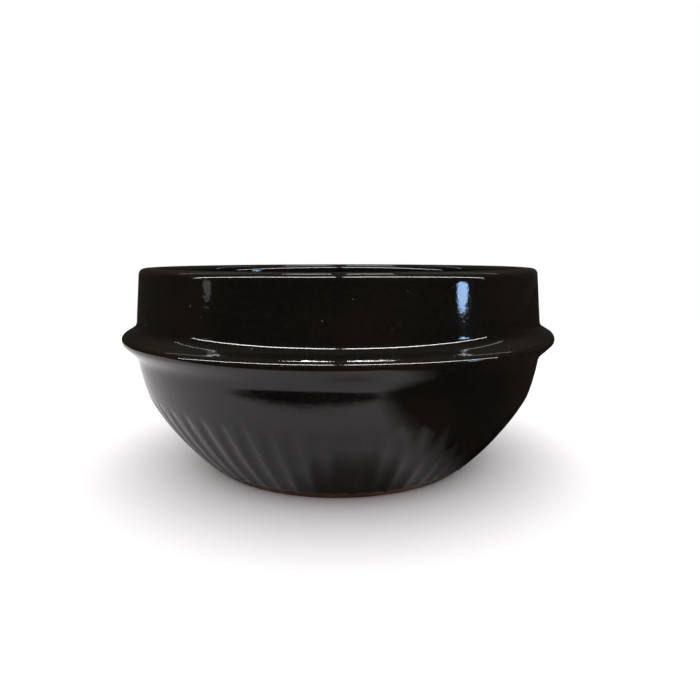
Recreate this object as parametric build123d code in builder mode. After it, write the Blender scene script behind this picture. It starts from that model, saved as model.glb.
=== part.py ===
from build123d import *
from math import degrees
import os

# A glazed earthenware stew pot: a fired clay body with an outer and an inner coat of glaze.
# Millimetres, +Z up.  The origin is the centre of the base, on the plane the pot rests on,
# and the front of the pot faces -Y.

# Whole pot, measured over the glaze
HEIGHT = 82.6  # resting plane to the top of the lip
GLAZE = 0.45  # thickness of either coat

# Corners of the outside, as (radius, height), before they are rounded
LIP = (82.9, HEIGHT)
COLLAR_FOOT = (85.0, 59.5)  # the straight collar meets the sloping top of the flange
FLANGE_EDGE = (92.3, 55.3)
WALL_TOP = (85.3, 48.3)  # the underside of the flange meets the bowl
WALL_RADIUS = 97.0  # of the wall's slow curve from top to bottom
SHOULDER = (81.8, 31.9)  # the wall turns in and the flutes begin
BOWL_RADIUS = 105.4
BOWL_END = (53.4, -3.0)  # the bowl's curve carried on below the resting plane

# Roundings of those corners
LIP_OUTER_RADIUS = 2.5
COLLAR_FILLET = 4.2
FLANGE_EDGE_RADIUS = 2.4
WALL_FILLET = 7.0
SHOULDER_FILLET = 12.0

# Inside of the pot
WELL_RADIUS = 75.5
WELL_FLOOR = 9.0  # height of the floor over the resting plane
WELL_CORNER = 37.0  # the one large curve between floor and wall
LIP_INNER_RADIUS = 3.0
LIP_LAND_INNER = WELL_RADIUS + LIP_INNER_RADIUS  # where the flat top of the lip begins

# Flutes down the lower bowl
FLUTES = 60
FLUTE_RADIUS = 8.0  # radius of the round scallop across a flute
FLUTE_TOP = (83.0, 35.0)  # the bottom of the scallop starts outside the wall, so it runs out
FLUTE_MIDDLE = (71.9, 17.0)
FLUTE_END = (56.5, 0.0)
FLUTE_OVERRUN = 3.0  # degrees that the cut runs on past the resting plane
FIRST_FLUTE = -89.0  # degrees about +Z, one degree to the right of the front

# Foot
FOOT = (57.0, 0.0)
FOOT_EDGE_RADIUS = 1.0
GLAZE_LINE = 2.2  # the outer coat stops this far above the resting plane
RECESS_RADIUS = 48.0
RECESS_DEPTH = 1.2
RECESS_EDGE_RADIUS = 1.0

MARGIN = 20.0  # how far a section reaches past the axis and past the lip
REACH = 120.0  # a radius outside the whole pot


def offset_outline(distance):
    """Move the drawn outline in or out, and redraw it in plain lines and arcs."""
    moved = offset(amount=distance)
    with BuildLine() as outline:
        for edge in moved.edges():
            if edge.geom_type == GeomType.LINE:
                Line(edge @ 0, edge @ 1)
            else:
                ThreePointArc(edge @ 0, edge @ 0.5, edge @ 1)
    make_face(outline.edges(), mode=Mode.REPLACE)


def draw_outside(inset):
    """Draw the section of the pot as if it were solid, set in from the glaze by the inset."""
    with BuildLine() as outline:
        Line(LIP, COLLAR_FOOT)
        Line(COLLAR_FOOT, FLANGE_EDGE)
        Line(FLANGE_EDGE, WALL_TOP)
        RadiusArc(WALL_TOP, SHOULDER, WALL_RADIUS)
        RadiusArc(SHOULDER, BOWL_END, BOWL_RADIUS)
        Polyline(BOWL_END, (-MARGIN, BOWL_END[1]), (-MARGIN, HEIGHT), LIP)
    section = make_face(outline.edges())
    for corner, radius in (
        (LIP, LIP_OUTER_RADIUS),
        (COLLAR_FOOT, COLLAR_FILLET),
        (FLANGE_EDGE, FLANGE_EDGE_RADIUS),
        (WALL_TOP, WALL_FILLET),
        (SHOULDER, SHOULDER_FILLET),
    ):
        section = fillet(section.vertices().sort_by_distance(corner)[0], radius)
    if inset:
        offset_outline(-inset)


def draw_well(outset):
    """Draw the section of the space inside, opened out from the glaze by the outset."""
    top = HEIGHT + MARGIN
    with BuildLine() as outline:
        Polyline((-MARGIN, top), (-MARGIN, WELL_FLOOR), (WELL_RADIUS, WELL_FLOOR))
        Line((WELL_RADIUS, WELL_FLOOR), (WELL_RADIUS, HEIGHT - LIP_INNER_RADIUS))
        RadiusArc((WELL_RADIUS, HEIGHT - LIP_INNER_RADIUS), (LIP_LAND_INNER, HEIGHT), LIP_INNER_RADIUS)
        Polyline((LIP_LAND_INNER, HEIGHT), (LIP_LAND_INNER, top), (-MARGIN, top))
    section = make_face(outline.edges())
    fillet(section.vertices().sort_by_distance((WELL_RADIUS, WELL_FLOOR))[0], WELL_CORNER)
    if outset:
        offset_outline(outset)


def keep_block(radius, low, high):
    """Keep what lies between the axis and a radius, and between two heights."""
    with Locations((0, low)):
        Rectangle(radius, high - low, align=(Align.MIN, Align.MIN), mode=Mode.INTERSECT)


def make_flute_cutter(scallop_radius):
    """Make the tool that cuts one flute: a round bar bent to follow the curve of the bowl."""
    run = ThreePointArc(FLUTE_TOP, FLUTE_MIDDLE, FLUTE_END)
    centre = Vector(run.arc_center.X, 0, run.arc_center.Y)
    start = (Vector(FLUTE_TOP[0], 0, FLUTE_TOP[1]) - centre).normalized()
    swing = degrees(run.length / run.radius) + FLUTE_OVERRUN
    with BuildPart() as cutter:
        with BuildSketch(Plane(centre, x_dir=start, z_dir=start.cross(Vector(0, 1, 0)))):
            with Locations((run.radius + FLUTE_RADIUS, 0)):
                Circle(scallop_radius)
        revolve(axis=Axis(centre, (0, 1, 0)), revolution_arc=swing)
    return cutter.part


glaze_cutter = make_flute_cutter(FLUTE_RADIUS)
clay_cutter = make_flute_cutter(FLUTE_RADIUS + GLAZE)

# The solid outside form of the clay, under the glaze
with BuildPart() as clay_form:
    with BuildSketch(Plane.XZ) as clay_section:
        draw_outside(GLAZE)
        keep_block(REACH, 0, HEIGHT)
        foot_edge = clay_section.vertices().sort_by_distance(FOOT)[0]
        fillet(foot_edge, FOOT_EDGE_RADIUS)
    revolve(axis=Axis.Z)
    with PolarLocations(0, FLUTES, start_angle=FIRST_FLUTE):
        add(clay_cutter, mode=Mode.SUBTRACT)

# The fired body: that form with the well, the foot recess and its own bare foot
with BuildPart() as clay_body:
    add(clay_form.part)
    with BuildSketch(Plane.XZ):
        draw_well(GLAZE)
        keep_block(REACH, 0, HEIGHT)
    revolve(axis=Axis.Z, mode=Mode.SUBTRACT)
    with BuildSketch(Plane.XY):
        Circle(RECESS_RADIUS)
    extrude(amount=RECESS_DEPTH, mode=Mode.SUBTRACT)
    recess_rim = clay_body.edges().filter_by(GeomType.CIRCLE).filter_by_position(Axis.Z, 0, 0)
    fillet(recess_rim.sort_by(SortBy.RADIUS)[0], RECESS_EDGE_RADIUS)
clay_body.part.label = "clay_body"

# The outer coat: over the flutes, the flange and the collar, and across the land of the lip
with BuildPart() as outer_glaze:
    with BuildSketch(Plane.XZ):
        draw_outside(0)
        keep_block(REACH, GLAZE_LINE, HEIGHT)
    revolve(axis=Axis.Z)
    with PolarLocations(0, FLUTES, start_angle=FIRST_FLUTE):
        add(glaze_cutter, mode=Mode.SUBTRACT)
    add(clay_form.part, mode=Mode.SUBTRACT)
    with BuildSketch(Plane.XY.offset(HEIGHT)):
        Circle(LIP_LAND_INNER)
    extrude(amount=-LIP_OUTER_RADIUS, mode=Mode.SUBTRACT)
outer_glaze.part.label = "outer_glaze"

# The inner coat: the floor and wall of the well, up and over the inner edge of the lip
with BuildPart() as inner_glaze:
    with BuildSketch(Plane.XZ):
        draw_well(GLAZE)
        keep_block(LIP_LAND_INNER, 0, HEIGHT)
    revolve(axis=Axis.Z)
    with BuildSketch(Plane.XZ):
        draw_well(0)
        keep_block(REACH, 0, HEIGHT)
    revolve(axis=Axis.Z, mode=Mode.SUBTRACT)
inner_glaze.part.label = "inner_glaze"

os.makedirs("parts", exist_ok=True)
for name, piece in (
    ("clay_body", clay_body.part),
    ("outer_glaze", outer_glaze.part),
    ("inner_glaze", inner_glaze.part),
):
    export_step(piece, f"parts/{name}.step")
    size = piece.bounding_box().size
    print(f"{name}: {piece.volume / 1000:.1f} cm3, {size.X:.1f} x {size.Y:.1f} x {size.Z:.1f} mm")
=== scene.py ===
# %% [markdown]
# A black-glazed stew pot
#
# The object is a heavy earthenware pot that stews are cooked and served in. One lump of clay is pressed to
# shape, fired, and covered inside and out with an iron glaze that melts to a black glass. This lesson builds
# it as those three things, a clay body and two coats of glaze, and then lights it so that the glass shows.

# %% The fixed frame
import math

import bpy
import numpy as np
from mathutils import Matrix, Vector, noise


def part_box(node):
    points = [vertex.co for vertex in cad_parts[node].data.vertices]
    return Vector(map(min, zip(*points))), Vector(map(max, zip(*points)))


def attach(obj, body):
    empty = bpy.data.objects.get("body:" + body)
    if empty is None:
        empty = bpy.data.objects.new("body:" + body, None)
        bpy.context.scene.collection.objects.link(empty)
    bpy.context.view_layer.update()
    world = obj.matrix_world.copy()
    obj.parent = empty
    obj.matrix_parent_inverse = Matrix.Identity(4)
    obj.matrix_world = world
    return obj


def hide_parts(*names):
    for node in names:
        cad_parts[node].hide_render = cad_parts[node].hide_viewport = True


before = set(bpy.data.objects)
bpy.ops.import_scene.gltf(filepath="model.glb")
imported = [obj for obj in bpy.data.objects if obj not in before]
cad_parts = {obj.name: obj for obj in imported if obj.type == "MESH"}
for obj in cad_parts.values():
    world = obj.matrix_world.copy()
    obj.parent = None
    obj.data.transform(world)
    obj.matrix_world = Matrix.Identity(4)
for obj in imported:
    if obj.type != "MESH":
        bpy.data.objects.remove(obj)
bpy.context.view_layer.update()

# %% [markdown]
# Units and the pot's own measures
#
# A potter works in millimetres and Blender works in metres, so every size of the pot is in millimetres and
# one factor turns it to metres when a mesh is made. The studio round it is set out in metres. The height, the
# place of the well's floor and the gap that the outer coat fills are read from the frame, so the looks
# follow the design that they dress.

# %% Sizes taken from the frame
MM = 0.001
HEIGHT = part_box("outer_glaze")[1].z / MM
GLAZE = 0.45  # the thickness that the design gives either coat
WELL_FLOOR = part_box("inner_glaze")[0].z / MM + GLAZE
COAT = (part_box("outer_glaze")[1].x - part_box("clay_body")[1].x) / MM  # a hair less, between facets
print(f"height {HEIGHT:.2f}, well floor {WELL_FLOOR:.2f}, glaze {COAT:.2f} mm")

# %% [markdown]
# The outline of a turned pot
#
# A pot like this is a body of revolution, so its whole shape is one line drawn from lip to foot. A maker
# would cut that line as a metal template. It is written here as a few sharp corners, each with the radius
# that the template rounds it to, and two slow arcs for the wall and the bowl.

# %% Drawing a rounded outline
SHARPEST_STEP = math.radians(9)  # the most that a rounded corner turns between two points
ON_AXIS = 1e-6  # closer to the axis, or to the next point, than this counts as touching


def arc_corners(start, end, radius, chord):
    """Corners between two ends, along an arc that bulges away from the axis."""
    a, b = np.array(start, float), np.array(end, float)
    run = np.linalg.norm(b - a)
    inward = np.array([(b - a)[1], -(b - a)[0]]) / run
    centre = (a + b) / 2 + inward * math.sqrt(radius**2 - (run / 2) ** 2)
    first, last = (math.atan2(p[1] - centre[1], p[0] - centre[0]) for p in (a, b))
    turns = np.linspace(first, last, max(2, round(run / chord)) + 1)[1:-1]
    return [(centre[0] + radius * math.cos(t), centre[1] + radius * math.sin(t), 0) for t in turns]


def corner_arc(before, here, after, radius):
    """The round that a template cuts across one sharp corner."""
    back, ahead = before - here, after - here
    back /= np.linalg.norm(back)
    ahead /= np.linalg.norm(ahead)
    half = math.acos(np.clip(back @ ahead, -1, 1)) / 2
    centre = here + (back + ahead) / np.linalg.norm(back + ahead) * radius / math.sin(half)
    a = here + back * radius / math.tan(half) - centre
    b = here + ahead * radius / math.tan(half) - centre
    turn = math.copysign(math.pi - 2 * half, a[0] * b[1] - a[1] * b[0])
    steps = max(2, math.ceil(abs(turn) / SHARPEST_STEP))
    turns = [turn * k / steps for k in range(steps + 1)]
    return [centre + np.array([math.cos(t) * a[0] - math.sin(t) * a[1],
                               math.sin(t) * a[0] + math.cos(t) * a[1]]) for t in turns]


def template(corners, longest):
    """The line through (r, z, radius) corners, rounded, with no step over the longest."""
    points = [np.array(c[:2], float) for c in corners]
    line = [points[0]]
    for i in range(1, len(corners)):
        arc = [points[i]]
        if corners[i][2] and i < len(corners) - 1:
            arc = corner_arc(points[i - 1], points[i], points[i + 1], corners[i][2])
        start, run = line[-1], np.linalg.norm(arc[0] - line[-1])
        if run < ON_AXIS:
            arc = arc[1:]
        else:
            pieces = math.ceil(run / longest)
            line += [start + (arc[0] - start) * k / pieces for k in range(1, pieces)]
        line += arc
    return np.array(line)


# %% The templates for the outside and for the well
LIP_LAND = 78.5  # radius where the flat top of the lip begins, and where the two coats meet
LIP = (82.9, HEIGHT, 2.5)  # each corner is radius, height and rounding
COLLAR_FOOT = (85.0, 59.5, 4.2)
FLANGE_EDGE = (92.3, 55.3, 2.4)
WALL_TOP = (85.3, 48.3, 7.0)
SHOULDER = (81.8, 31.9, 12.0)
FOOT = (57.0, 0.0, 0)
WALL_RADIUS = 97.0
BOWL_RADIUS = 105.4
WALL_CHORD = 5.6  # the wall curves slowly, so few points draw it
BOWL_CHORD = 2.8
WELL_RADIUS = 75.5
WELL_CORNER = 37.0  # the one large curve between floor and wall
LIP_INNER = 3.0
LONGEST_OUTSIDE = 2.0
LONGEST_INSIDE = 2.5

outside = template([
    (LIP_LAND, HEIGHT, 0),
    LIP,
    COLLAR_FOOT,
    FLANGE_EDGE,
    WALL_TOP,
    *arc_corners(WALL_TOP[:2], SHOULDER[:2], WALL_RADIUS, WALL_CHORD),
    SHOULDER,
    *arc_corners(SHOULDER[:2], FOOT[:2], BOWL_RADIUS, BOWL_CHORD),
    FOOT,
], LONGEST_OUTSIDE)
well = template([
    (0.0, WELL_FLOOR, 0),
    (WELL_RADIUS, WELL_FLOOR, WELL_CORNER),
    (WELL_RADIUS, HEIGHT, LIP_INNER),
    (LIP_LAND, HEIGHT, 0),
], LONGEST_INSIDE)
print(f"outside {len(outside)} points, widest {outside[:, 0].max():.2f} mm; well {len(well)} points")

# %% [markdown]
# Turning the outline
#
# A lathe or a jigger wheel sweeps the template round the axis. The same sweep here makes one ring of points
# for each point of the outline. A Screw modifier could do it too, but code lets every ring be pushed in or
# out along its own normal, which is how the flutes and the slight unevenness of real clay are added.

# %% A wheel for templates
SEGMENTS = 720  # twelve to a flute
theta = np.arange(SEGMENTS) * 2 * math.pi / SEGMENTS


def outward(line):
    """The normals of a template line, on its left as it is walked, one to a point."""
    along = np.gradient(line, axis=0)
    along /= np.linalg.norm(along, axis=1)[:, None]
    return np.column_stack([-along[:, 1], along[:, 0]])


def shifted(line, distance):
    """The same line, moved along its normals."""
    return line + outward(line) * distance


def sweep(name, rings, closed):
    """A mesh from rings of points, each (SEGMENTS, 3) in millimetres or one point on the axis."""
    starts, total = [], 0
    for ring in rings:
        starts.append(total)
        total += len(ring)
    step = np.arange(SEGMENTS)
    after = (step + 1) % SEGMENTS
    quads, fans = [], []
    pairs = list(zip(range(len(rings)), [*range(1, len(rings)), 0]))
    for i, j in pairs if closed else pairs[:-1]:
        a, b = starts[i] + step, starts[i] + after
        c, d = starts[j] + after, starts[j] + step
        if len(rings[i]) == 1:
            fans.append(np.column_stack([d, c, np.full(SEGMENTS, starts[i])]))
        elif len(rings[j]) == 1:
            fans.append(np.column_stack([np.full(SEGMENTS, starts[j]), b, a]))
        else:
            quads.append(np.column_stack([d, c, b, a]))
    faces = [f for group in fans + quads for f in group.tolist()]
    mesh = bpy.data.meshes.new(name)
    mesh.from_pydata((np.vstack(rings) * MM).tolist(), [], faces)
    mesh.shade_smooth()
    piece = bpy.data.objects.new(name, mesh)
    bpy.context.collection.objects.link(piece)
    print(f"{name}: {len(mesh.vertices)} points, {len(faces)} faces")
    return piece


def ring_at(point, radial=0.0, rise=0.0):
    """One ring round the axis through (r, z), each point of it moved out and up."""
    if point[0] < ON_AXIS:
        return np.array([[0.0, 0.0, point[1]]])
    r = point[0] + radial * np.ones(SEGMENTS)
    z = point[1] + rise * np.ones(SEGMENTS)
    return np.column_stack([r * np.cos(theta), r * np.sin(theta), z])


# %% [markdown]
# The flutes
#
# Sixty shallow grooves run down the lower bowl, from where the wall turns in to just above the foot. On the
# mould each was cut with a round-nosed gouge, so across it is a shallow scallop and along it the cut fades
# in at the top. The melted glaze fills its sharp edges a little, and a smooth maximum does the same here.

# %% Depth of the gouge at every point
FLUTES = 60
GOUGE_RADIUS = 8.0
FIRST_FLUTE = math.radians(-89)
GOUGE_PATH = ((83.0, 35.0), (71.9, 17.0), (56.5, 0.0))  # (r, z) along the bottom of a scallop
GLAZE_SOFTENING = 0.06
FLUTES_REACH = (40, 40)  # no gouge reaches further in, or higher up, than this


def circle_through(a, b, c):
    """Centre and radius of the circle through three points."""
    a, b, c = (np.array(p, float) for p in (a, b, c))
    sides = np.array([b - a, c - a])
    centre = np.linalg.solve(sides, [(b @ b - a @ a) / 2, (c @ c - a @ a) / 2])
    return centre, np.linalg.norm(a - centre)


gouge_centre, gouge_swing = circle_through(*GOUGE_PATH)
pitch = 2 * math.pi / FLUTES
from_flute = (theta - FIRST_FLUTE + pitch / 2) % pitch - pitch / 2


def flute_depth(point):
    """How deep the gouge cuts at each point of the ring through (r, z)."""
    r, z = point
    if r < FLUTES_REACH[0] or z > FLUTES_REACH[1]:
        return np.zeros(SEGMENTS)
    middle = math.hypot(r - gouge_centre[0], z - gouge_centre[1]) - gouge_swing
    cut = middle - (r * from_flute) ** 2 / (2 * GOUGE_RADIUS)
    return GLAZE_SOFTENING * np.logaddexp(0, cut / GLAZE_SOFTENING)


print(f"gouge swings {gouge_swing:.0f} mm, deepest {max(flute_depth(p).max() for p in outside):.2f} mm")

# %% [markdown]
# Hand and kiln
#
# Pressed clay warps a little as it dries, and glaze runs a little as it melts. The first shows as a slow
# swell a few centimetres across, and the second as ripples a few millimetres long that make a bright
# reflection wander. The wheel adds faint rings. All three together stay under a tenth of a millimetre, and
# they are moved points, so the mesh itself carries them.

# %% Swell, ripple and rings
SWELL, SWELL_SIZE = 0.07, 34
RIPPLE, RIPPLE_SIZE = 0.018, 4.6
RIPPLE_FLATTENING = 1.3  # ripples are this much wider than they are tall
RIPPLE_SHIFT = Vector((7, 3, 1))  # takes the ripples from another part of the noise than the swell
RINGS, RING_SPACING = 0.009, 3.4
RINGS_FOLLOW_SWELL = 4


def unevenness(ring):
    """Slow swell, fine ripple and faint turning rings, in millimetres, at each point of a ring."""
    out = []
    for x, y, z in ring:
        slow = noise.noise(Vector((x, y, z)) / SWELL_SIZE)
        fine = noise.noise(Vector((x, y, z * RIPPLE_FLATTENING)) / RIPPLE_SIZE + RIPPLE_SHIFT)
        turned = math.sin(2 * math.pi * z / RING_SPACING + RINGS_FOLLOW_SWELL * slow)
        out.append(SWELL * slow + RIPPLE * fine + RINGS * turned)
    return np.array(out)


def skin(line, distance=0.0, fluted=False, uneven=0.0, slide=0.0):
    """Rings along a template line, moved off it, fluted, made uneven and slid back up its length."""
    distances = np.broadcast_to(distance, len(line))
    slides = np.broadcast_to(slide, (len(line), SEGMENTS))
    rings = []
    for point, normal, away, back in zip(line, outward(line), distances, slides):
        if point[0] < ON_AXIS:
            rings.append(ring_at(point + normal * away))
            continue
        push = np.full(SEGMENTS, away)
        if fluted:
            push = push - flute_depth(point)
        if uneven:
            push = push + uneven * unevenness(ring_at(point))
        radial = normal[0] * push - normal[1] * back
        rise = normal[1] * push + normal[0] * back
        rings.append(ring_at(point, radial, rise))
    return rings


def some(rings, every):
    """Every so many of these rings, and always the first and the last."""
    return [*rings[:-1:every], rings[-1]]


# %% [markdown]
# The outer coat
#
# The pot is dipped, and the glaze is wiped back from the foot before firing so that it won't stick to the
# kiln shelf. Melting pulls its edge up into a fat rounded roll. The coat is a closed skin: an outer face, the
# roll round its end, and an inner face that lies on the clay. Nobody sees the inner face, so it takes only
# every third ring.

# %% The outer coat as a closed skin
GLAZE_LINE = 2.2
COAT_END = GLAZE_LINE + 0.4  # the roll makes up the rest
ROLL_SWELL = 0.14
ROLL_HEIGHT = 0.9
ROLL_TURNS = (72, 48, 24, 0, -24, -48, -72)  # degrees, from the outer face round to the inner one
ROLL_LENGTH = 1.2  # as a share of half the coat's thickness
SINK = 0.10  # the uneven faces start this far in, so that their swell stays within the design's box
WANDER_TOP = 9  # the wiped edge's wandering dies out at this height
WANDER_FADE = 6
WANDER_LUMPS = 2.6  # the more, the more often the edge rises and falls round the pot
WANDER_QUICKER = 5
WANDER_MEAN, WANDER_SLOW, WANDER_QUICK = 0.35, 0.45, 0.2
HIDDEN_OUTER = 3  # one ring in so many is kept on the coat's hidden inner face
HIDDEN_CLAY = 2  # and on the clay under the coat


def foot_wander(angle):
    """How much higher the wiped edge sits at this angle round the pot."""
    place = Vector((math.cos(angle), math.sin(angle), 0)) * WANDER_LUMPS
    slow, quick = noise.noise(place), noise.noise(place * WANDER_QUICKER)
    return WANDER_MEAN + WANDER_SLOW * slow + WANDER_QUICK * quick


wander = np.array([foot_wander(t) for t in theta])
coated = outside[outside[:, 1] > COAT_END]
heights = coated[:, 1]
from_roll = (heights - GLAZE_LINE - ROLL_HEIGHT) / ROLL_HEIGHT
swelling = ROLL_SWELL * np.exp(-(from_roll**2)) - SINK
slides = np.clip((WANDER_TOP - heights) / WANDER_FADE, 0, 1)[:, None] * wander
outer_face = skin(coated, swelling, fluted=True, uneven=1.0, slide=slides)
inner_face = some(skin(coated, -COAT, fluted=True, slide=slides), HIDDEN_OUTER)

end_point, end_normal = coated[-1], outward(coated)[-1]
end_down = np.array([end_normal[1], -end_normal[0]])
half_thick = (COAT + swelling[-1]) / 2
roll = []
for turn in np.radians(ROLL_TURNS):
    place = end_point + end_down * half_thick * ROLL_LENGTH * math.cos(turn)
    push = swelling[-1] + half_thick * (math.sin(turn) - 1) - flute_depth(end_point)
    roll.append(ring_at(place, end_normal[0] * push - end_down[0] * slides[-1],
                        end_normal[1] * push - end_down[1] * slides[-1]))
outer_coat = sweep("outer_glaze_coat", outer_face + roll + inner_face[::-1], closed=True)

# %% [markdown]
# The inner coat
#
# Glaze is poured in, swirled and poured out. The jigger arm that shaped the well leaves faint rings that the
# glaze doesn't quite hide, and they die away towards the lip.

# %% The inner coat with its turning rings
TOOL_RIDGE, TOOL_SPACING = 0.035, 9
TOOL_STARTS = 12  # millimetres from the centre of the floor, walked along the well's line
TOOL_ENDS, TOOL_FADE = 115, 25
WELL_UNEVEN = 0.8


def turning_rings(line):
    """Faint ridges left by the forming tool, as a height for each point of the well's line."""
    walked = np.concatenate([[0], np.cumsum(np.linalg.norm(np.diff(line, axis=0), axis=1))])
    ridge = np.sin(2 * math.pi * walked / TOOL_SPACING + 1.3 * np.sin(walked / TOOL_SPACING))
    rising = np.clip(walked / TOOL_STARTS, 0, 1)
    falling = np.clip((TOOL_ENDS - walked) / TOOL_FADE, 0, 1)
    return TOOL_RIDGE * ridge * rising * falling


well_face = skin(well, turning_rings(well) - SINK, uneven=WELL_UNEVEN)
inner_coat = sweep("inner_glaze_coat", well_face + skin(well, -COAT)[::-1], closed=False)

# %% [markdown]
# The clay
#
# Only the foot shows bare clay: the ring that the pot stands on, a shallow recess inside it and the strip
# below the glaze line. The body is still made whole, because a part is the solid thing and not its picture.

# %% The clay body
FOOT_EDGE = 1.0
LONGEST_BASE = 3.0
RECESS_RADIUS = 48.0
RECESS_DEPTH = 1.2
BARE_BELOW = 2.0  # the flutes fade out over this last height

covered = outside[outside[:, 1] > BARE_BELOW]
base = template([
    (*shifted(covered, -COAT)[-1], 0),
    (FOOT[0] - COAT, 0.0, FOOT_EDGE),
    (RECESS_RADIUS, 0.0, FOOT_EDGE),
    (RECESS_RADIUS, RECESS_DEPTH, 0),
    (0.0, RECESS_DEPTH, 0),
], LONGEST_BASE)[1:]
bare = []
for point, normal in zip(base, outward(base)):
    on_outside = point[0] > RECESS_RADIUS + 2 * FOOT_EDGE
    still_fluted = np.clip(point[1] / BARE_BELOW, 0, 1) if on_outside else 0.0
    depth = -flute_depth(point) * still_fluted
    bare.append(ring_at(point, normal[0] * depth, normal[1] * depth))
under_glaze = some(skin(covered, -COAT, fluted=True)[1:], HIDDEN_CLAY)
clay = sweep("fired_clay_body", skin(well, -COAT) + under_glaze + bare, closed=False)

# %% [markdown]
# Where the glaze is thin
#
# Molten glaze draws away from sharp edges, so it is thin and lets the brown clay through on the lip, on the
# rim of the flange and on the ridges between flutes. Each point of the outer coat carries a number for this,
# worked out from how sharply the outline turns there and how near the point is to a ridge.

# %% Marking the thin glaze
SHARPEST_BULGE = 0.4  # radians per millimetre, as on the rim of the flange
DEEP_FLUTE = 0.4
RIDGE_SHARE = 0.5
RIDGE_SHARPNESS = 10


def turning(line):
    """How sharply a line bulges at each of its points, in radians per millimetre."""
    along = np.gradient(line, axis=0)
    heading = np.unwrap(np.arctan2(along[:, 1], along[:, 0]))
    return np.clip(-np.gradient(heading) / np.linalg.norm(along, axis=1), 0, 1)


ridge = np.abs(from_flute) / (pitch / 2)
thinness = []
for point, bulge in zip(coated, turning(coated)):
    fluting = np.clip(flute_depth(point).max() / DEEP_FLUTE, 0, 1)
    on_ridge = RIDGE_SHARE * fluting * ridge**RIDGE_SHARPNESS
    thinness.append(np.clip(bulge / SHARPEST_BULGE + on_ridge, 0, 1))
others = np.zeros(len(outer_coat.data.vertices) - SEGMENTS * len(coated))
mark = outer_coat.data.attributes.new("thin_glaze", "FLOAT", "POINT")
mark.data.foreach_set("value", np.concatenate([*thinness, others]).astype(np.float32))
print(f"thin glaze from {np.min(thinness):.2f} to {np.max(thinness):.2f}")

# %% [markdown]
# Materials
#
# A material here is a small graph of nodes. One helper adds a node, sets it up and links its inputs, which
# keeps each material readable from its texture to its shader. Colours are written as a painter would pick
# them, as sRGB hex, and turned to the linear numbers that Cycles works in. Positions are scaled to
# millimetres, so that a noise of scale 1 / 1.5 has lumps about 1.5 mm across.

# %% Helpers for materials
def linear(hex_colour):
    """An sRGB hex colour as linear RGBA."""
    channels = [int(hex_colour[k:k + 2], 16) / 255 for k in (1, 3, 5)]
    return (*[c / 12.92 if c <= 0.04045 else ((c + 0.055) / 1.055) ** 2.4 for c in channels], 1)


def add(tree, kind, inputs={}, **settings):
    """A new node of this kind, with its settings, its values and its incoming links."""
    made = tree.nodes.new("ShaderNode" + kind)
    for name, value in settings.items():
        setattr(made, name, value)
    for name, value in inputs.items():
        if isinstance(value, bpy.types.NodeSocket):
            tree.links.new(value, made.inputs[name])
        else:
            made.inputs[name].default_value = value
    return made


def start_material(name):
    """A new material, its empty tree, and the place of each point in millimetres."""
    material = bpy.data.materials.new(name)
    material.use_nodes = True
    tree = material.node_tree
    tree.nodes.clear()
    place = add(tree, "TexCoord").outputs["Object"]
    in_mm = add(tree, "VectorMath", {0: place, "Scale": 1 / MM}, operation="SCALE").outputs[0]
    return material, tree, in_mm


def faded(tree, value, low, high, to_low=0.0, to_high=1.0):
    """A value spread from one range onto another."""
    names = {"Value": value, "From Min": low, "From Max": high, "To Min": to_low, "To Max": to_high}
    return add(tree, "MapRange", names, interpolation_type="SMOOTHSTEP").outputs[0]


def lumps(tree, in_mm, size, detail, roughness=0.5):
    """Soft random lumps of this size in millimetres."""
    names = {"Vector": in_mm, "Scale": 1 / size, "Detail": detail, "Roughness": roughness}
    return add(tree, "TexNoise", names).outputs["Fac"]


def blend(tree, share, first, second):
    """One colour turned to another by a share from 0 to 1."""
    return add(tree, "Mix", {0: share, 6: first, 7: second}, data_type="RGBA").outputs[2]


# %% [markdown]
# Iron-black glaze
#
# The glaze is glass with so much iron in it that light is lost within a fraction of a millimetre. So its own
# colour is nearly black, warm rather than blue, and almost all that the eye reads is reflection: the index of
# refraction of glass, 1.5, and very little roughness. It breaks faintly to brown where it is thin, it has a
# fine speck of iron crystals, its surface has the slight orange peel of a melt that froze, and here and
# there a gas bubble left a pinhole. Too much fine peel would blur the highlights, so it stays smooth.

# %% Iron-black glaze
GLASS_IOR = 1.5
POOL_SIZE = 38  # slow changes of depth, in millimetres across
SPECK_SIZE = 0.55
PEEL_SIZE, PEEL_DEPTH = 1.5, 0.022
PINHOLE_SPACING, PINHOLE_DEPTH = 2.4, 0.06
GLOSS = (0.035, 0.07)  # roughness, from the smoothest pool to the dullest


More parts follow.
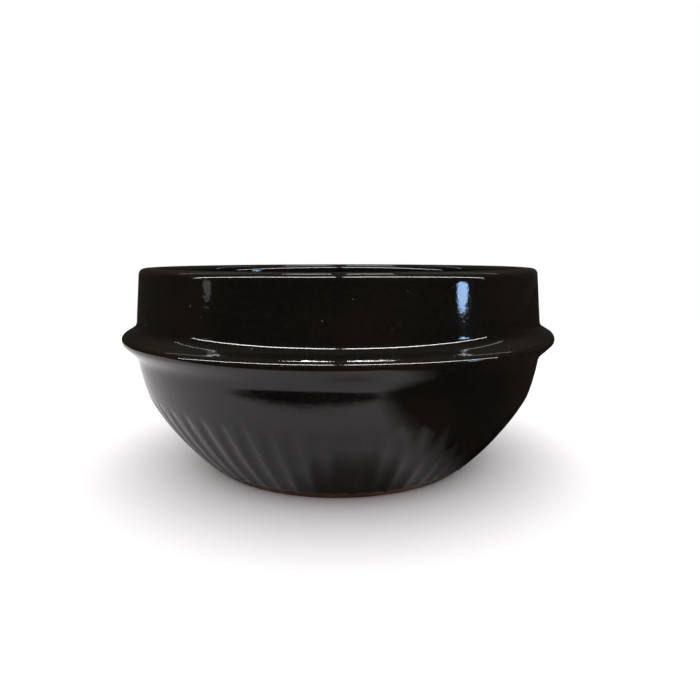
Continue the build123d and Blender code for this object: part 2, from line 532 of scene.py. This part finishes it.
def iron_black_glaze(name, breaks_to_brown):
    """Black glossy glaze. It gives the eye deep black, crisp lights and a brown edge."""
    material, tree, in_mm = start_material(name)
    pool = lumps(tree, in_mm, POOL_SIZE, 3.0)
    speck = lumps(tree, in_mm, SPECK_SIZE, 4.0, 0.7)
    body = blend(tree, faded(tree, pool, 0.35, 0.7), linear("#0a0908"), linear("#110e0b"))
    colour = blend(tree, faded(tree, speck, 0.54, 0.72, 0, 0.6), body, linear("#332c1f"))
    if breaks_to_brown:
        thin = add(tree, "Attribute", attribute_name="thin_glaze").outputs["Fac"]
        pooling = faded(tree, pool, 0.3, 0.65, 0.45, 1.0)
        patchy = add(tree, "Math", {0: thin, 1: pooling}, operation="MULTIPLY").outputs[0]
        colour = blend(tree, faded(tree, patchy, 0.1, 1.0, 0, 0.3), colour, linear("#20170f"))

    peel = lumps(tree, in_mm, PEEL_SIZE, 2.0, 0.5)
    cell = add(tree, "TexVoronoi", {"Vector": in_mm, "Scale": 1 / PINHOLE_SPACING}).outputs
    chosen = faded(tree, add(tree, "SeparateColor", {0: cell["Color"]}).outputs[0], 0.62, 0.64)
    near = faded(tree, cell["Distance"], 0.04, 0.11, 1, 0)
    hole = add(tree, "Math", {0: near, 1: chosen}, operation="MULTIPLY").outputs[0]
    peeled = add(tree, "Bump", {"Height": peel, "Distance": PEEL_DEPTH * MM, "Strength": 1.0})
    pitted = add(tree, "Bump", {"Height": hole, "Distance": -PINHOLE_DEPTH * MM, "Normal": peeled.outputs[0]})
    shader = add(tree, "BsdfPrincipled", {
        "Base Color": colour,
        "Roughness": faded(tree, pool, 0.3, 0.7, *GLOSS),
        "IOR": GLASS_IOR,
        "Normal": pitted.outputs[0],
    })
    add(tree, "OutputMaterial", {"Surface": shader.outputs[0]})
    print(f"{name}: {len(tree.nodes)} nodes")
    return material


outer_coat.data.materials.append(iron_black_glaze("iron_black_glaze_outside", True))
inner_coat.data.materials.append(iron_black_glaze("iron_black_glaze_inside", False))

# %% [markdown]
# Bare fired clay
#
# The clay of a pot for the fire is coarse and full of iron. It is quite matte, so a roughness near 0.9 and
# grit half a millimetre across do most of the work, with darker patches where the flame touched it.

# %% Bare fired clay
GRIT_SIZE, GRIT_DEPTH = 0.5, 0.08
FLAME_SIZE = 22
CLAY_IOR = 1.5


def bare_fired_clay(name):
    """Coarse matte red-brown clay. It gives the eye a dry, gritty foot under the gloss."""
    material, tree, in_mm = start_material(name)
    grit = lumps(tree, in_mm, GRIT_SIZE, 5.0, 0.75)
    flame = lumps(tree, in_mm, FLAME_SIZE, 4.0)
    fired = blend(tree, faded(tree, flame, 0.35, 0.65), linear("#4a2f22"), linear("#6b4530"))
    gritty = blend(tree, faded(tree, grit, 0.52, 0.72, 0, 0.8), fired, linear("#8a6a50"))
    rough = add(tree, "Bump", {"Height": grit, "Distance": GRIT_DEPTH * MM})
    shader = add(tree, "BsdfPrincipled", {
        "Base Color": gritty,
        "Roughness": faded(tree, grit, 0.3, 0.7, 0.82, 0.95),
        "IOR": CLAY_IOR,
        "Normal": rough.outputs[0],
    })
    add(tree, "OutputMaterial", {"Surface": shader.outputs[0]})
    print(f"{name}: {len(tree.nodes)} nodes")
    return material


clay.data.materials.append(bare_fired_clay("bare_fired_clay"))

# %% [markdown]
# Dressing the frame
#
# Nothing on the pot moves, so every piece rides on the root body. Each mesh takes the place of the plain
# solid of the same piece.

# %% Putting each mesh on the root body in place of its plain solid
for piece, node, slot in (
    (clay, "clay_body", "fired_clay"),
    (outer_coat, "outer_glaze", "black_glaze"),
    (inner_coat, "inner_glaze", "black_glaze"),
):
    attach(piece, "root")
    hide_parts(node)

# %% [markdown]
# The studio
#
# A black mirror shows the room, so the room is most of the picture. The floor is matte and pale, and the air
# is white to the eye and soft and brightest overhead to matte surfaces. Reflections see a dark room instead,
# as they would between black flags, so that the glaze stays black except where it mirrors the floor and the
# lamps. The floor is small, so that the collar mirrors the dark beyond it.

# %% Floor and world
FLOOR_REACH = 0.45  # metres from the middle to each side


def flat_square(name, reach, height):
    """A level square round the pot, in metres."""
    corners = [(x * reach, y * reach, height) for x, y in ((-1, -1), (1, -1), (1, 1), (-1, 1))]
    mesh = bpy.data.meshes.new(name)
    mesh.from_pydata(corners, [], [(0, 1, 2, 3)])
    square = bpy.data.objects.new(name, mesh)
    bpy.context.collection.objects.link(square)
    return square


floor = flat_square("floor", FLOOR_REACH, 0)
paper = bpy.data.materials.new("matte_pale_paper")
paper.use_nodes = True
sockets = paper.node_tree.nodes["Principled BSDF"].inputs
sockets["Base Color"].default_value = linear("#f4f0f1")
sockets["Roughness"].default_value = 0.95
sockets["Specular IOR Level"].default_value = 0.0
floor.data.materials.append(paper)

world = bpy.data.worlds.new("studio_air")
world.use_nodes = True
air = world.node_tree
air.nodes.clear()
upward = add(air, "SeparateXYZ", {0: add(air, "TexCoord").outputs["Generated"]}).outputs["Z"]
path = add(air, "LightPath").outputs
overhead = faded(air, upward, 0.0, 1.0, 0.1, 2.1)
dim = faded(air, upward, 0.2, 0.95, 0.03, 0.15)
white = add(air, "Background", {"Color": linear("#ffffff"), "Strength": 1.0})
soft = add(air, "Background", {"Color": linear("#ffffff"), "Strength": overhead})
dark = add(air, "Background", {"Color": linear("#fff2d8"), "Strength": dim})
lit = add(air, "MixShader", {0: path["Is Camera Ray"], 1: soft.outputs[0], 2: white.outputs[0]})
choose = add(air, "MixShader", {0: path["Is Glossy Ray"], 1: lit.outputs[0], 2: dark.outputs[0]})
add(air, "OutputWorld", {"Surface": choose.outputs[0]})
bpy.context.scene.world = world
bpy.context.scene.view_settings.view_transform = "Standard"

# %% [markdown]
# Strip lamps
#
# Long narrow lamps hang from the ceiling in three rows. The front row is very long, so its line runs the
# whole way along each rounded edge. The middle row, a little behind the pot, is short and bright. The back
# row carries it on to either side but is dim, because the slope of the flange would mirror it as a flare.
# The front and middle rows have a gap in the middle. On a rounded edge a row shrinks to one thin line broken
# at that gap, and that is the pot's most telling sign of gloss. An oval panel far out on each side, the right
# one pale blue, touches the collar. Only reflections see the lamps.

# %% Strips and panels
MIDDLE_OF_POT = 0.05  # the height that every lamp faces


def lamp(name, place, size, radiance, colour="#ffffff", aim=(0, 0, MIDDLE_OF_POT), shape="RECTANGLE"):
    """A flat lamp that faces a point, as bright to look at as its radiance says."""
    data = bpy.data.lights.new(name, "AREA")
    data.shape = shape
    data.size, data.size_y = size
    fill = math.pi / 4 if shape == "ELLIPSE" else 1
    data.energy = radiance * math.pi * size[0] * size[1] * fill
    data.color = linear(colour)[:3]
    made = bpy.data.objects.new(name, data)
    made.location = place
    made.rotation_euler = (Vector(aim) - Vector(place)).to_track_quat("-Z", "Y").to_euler()
    made.visible_camera = False
    made.visible_diffuse = False
    bpy.context.collection.objects.link(made)


CEILING = 1.5
ROWS = (  # name, how far back, start and end of each half, width, radiance
    ("middle", 0.30, 0.05, 0.38, 0.06, 36),
    ("back", 0.80, 0.38, 2.2, 0.06, 3),
    ("front", -1.26, 0.06, 10.0, 0.12, 45),
)
for row, back, start, end, width, radiance in ROWS:
    for side, sign in (("left", -1), ("right", 1)):
        middle = sign * (start + end) / 2
        aim = (middle, 0, MIDDLE_OF_POT)
        lamp(f"{row}_strip_{side}", (middle, back, CEILING), (end - start, width), radiance, aim=aim)
lamp("side_panel_right", (1.37, -0.61, 0.192), (0.18, 0.13), 20, "#9fc4f2", shape="ELLIPSE")
lamp("side_panel_left", (-1.42, -0.49, 0.205), (0.13, 0.10), 1.0, shape="ELLIPSE")

# %% [markdown]
# A black sheet
#
# A sheet of black cloth lies just over the floor, and only reflections see it. It is solid ahead of the pot
# and to its right, with soft edges, and makes a dark band in the wall of the bowl so that the shape of the
# shoulder can be read. Everywhere else it is a thin veil that takes a quarter off the pale floor. A round
# patch of it lies dark in front of the foot as painted shade, standing in for the shadow under the bowl.

# %% The black sheet
SHEET_REACH = 2.5  # metres
SHEET_LIFT = 0.0005
SHEET_SLANT = -0.19  # how fast its front edge runs away from the pot towards the right
SHEET_FRONT = (128, 150)  # millimetres ahead of the axis, where the edge starts and ends
SHEET_SIDE = (18, 58)
VEIL = 0.27
# The round patch is painted shade: a dark spot on the sheet where the bowl's shadow would lie, seen only in
# reflections.
SHADE_PLACE = (5, -57, 0)
SHADE_EDGE = (10, 34)
SHADE_DEPTH = 0.8

sheet = flat_square("black_sheet", SHEET_REACH, SHEET_LIFT)
cloth, weave, in_mm = start_material("black_cloth_and_painted_shade")
across = add(weave, "SeparateXYZ", {0: in_mm}).outputs
lean = add(weave, "Math", {0: across["X"], 1: SHEET_SLANT}, operation="MULTIPLY").outputs[0]
ahead = add(weave, "Math", {0: lean, 1: across["Y"]}, operation="SUBTRACT").outputs[0]
front = faded(weave, ahead, *SHEET_FRONT, VEIL, 1.0)
side = faded(weave, across["X"], *SHEET_SIDE)
# Painted shade: the sheet darkens round a point in front of the foot, in place of the bowl's own shadow.
from_foot = add(weave, "VectorMath", {0: in_mm, 1: SHADE_PLACE}, operation="DISTANCE").outputs["Value"]
shade = faded(weave, from_foot, *SHADE_EDGE, SHADE_DEPTH, 0)
both = add(weave, "Math", {0: front, 1: side}, operation="MAXIMUM").outputs[0]
cover = add(weave, "Math", {0: both, 1: shade}, operation="MAXIMUM").outputs[0]
black = add(weave, "BsdfDiffuse", {"Color": linear("#1c1917")})
clear = add(weave, "BsdfTransparent")
laid = add(weave, "MixShader", {0: cover, 1: clear.outputs[0], 2: black.outputs[0]})
add(weave, "OutputMaterial", {"Surface": laid.outputs[0]})
sheet.data.materials.append(cloth)
sheet.visible_camera = False
sheet.visible_diffuse = False
sheet.visible_shadow = False

# %% [markdown]
# The camera
#
# The pot is seen from close by and just above its rim, so the near lip bows down a little and the well is
# almost closed to view.

# %% Camera
LENS = 29.756  # millimetres, on film 36 mm wide
FILM = 36
NEAREST = 0.01  # metres
CAMERA_PLACE = (0, -0.2565, 0.0876)
LOOKS_DOWN = 9.3  # degrees
LOOKS_RIGHT = 1.05

camera_data = bpy.data.cameras.new("camera")
camera_data.lens = LENS
camera_data.sensor_width = FILM
camera_data.clip_start = NEAREST
camera = bpy.data.objects.new("camera", camera_data)
camera.location = CAMERA_PLACE
camera.rotation_euler = (math.radians(90 - LOOKS_DOWN), 0, math.radians(-LOOKS_RIGHT))
bpy.context.collection.objects.link(camera)
bpy.context.scene.camera = camera
